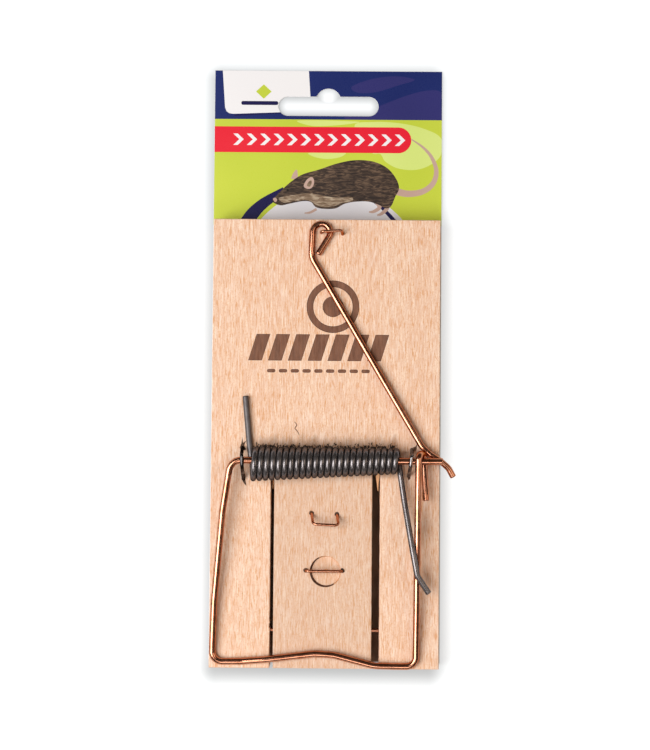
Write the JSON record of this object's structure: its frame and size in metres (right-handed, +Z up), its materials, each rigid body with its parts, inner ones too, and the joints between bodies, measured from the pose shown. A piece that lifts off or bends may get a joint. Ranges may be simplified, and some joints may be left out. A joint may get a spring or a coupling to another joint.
{
  "type": "treadle snap trap",
  "caption": "Wooden snap trap on a hang card: sprung wire bow, pivoting treadle with bait recess and catch, and hooked lock bar.",
  "frame": {"origin": "middle of the board's footprint, on the underside of the hang card", "axes": "+X across the board along the bow's shaft, +Y along the board towards the hang slot, +Z up out of the board's top"},
  "size_m": [0.092, 0.226, 0.0255],
  "materials": {
    "beech": "planed, bare",
    "copper_wire": "drawn steel wire, thin copper plating",
    "spring_steel": "dark drawn spring wire",
    "card": "printed, satin varnish"
  },
  "bodies": {
    "base": {"header_card": "card", "base_board": "beech", "pivot_pin": "copper_wire", "shaft_staple_left": "spring_steel", "shaft_staple_right": "spring_steel", "lock_staple": "copper_wire", "torsion_spring": "spring_steel"},
    "bow": {"striker_bow": "copper_wire"},
    "treadle": {"treadle": "beech", "catch_staple": "copper_wire", "bait_staple": "copper_wire"},
    "lock": {"lock_bar": "copper_wire"}
  },
  "joints": [
    {"name": "bow_swing", "type": "hinge", "parent": "base", "child": "bow", "pos_m": [0, -0.0068, 0.0187], "axis": [-1, 0, 0], "range_deg": [0, 160], "stiffness_Nm_per_rad": 0.12, "springref_deg": -114.59, "deforming": ["torsion_spring"]},
    {"name": "treadle_press", "type": "hinge", "parent": "base", "child": "treadle", "pos_m": [0, -0.0697, 0.0077], "axis": [-1, 0, 0], "range_deg": [0, 2]},
    {"name": "lock_swivel", "type": "hinge", "parent": "base", "child": "lock", "pos_m": [-0.0022, 0.0784, 0.0137], "axis": [0, 0, 1], "range_deg": [0, 70]}
  ]
}
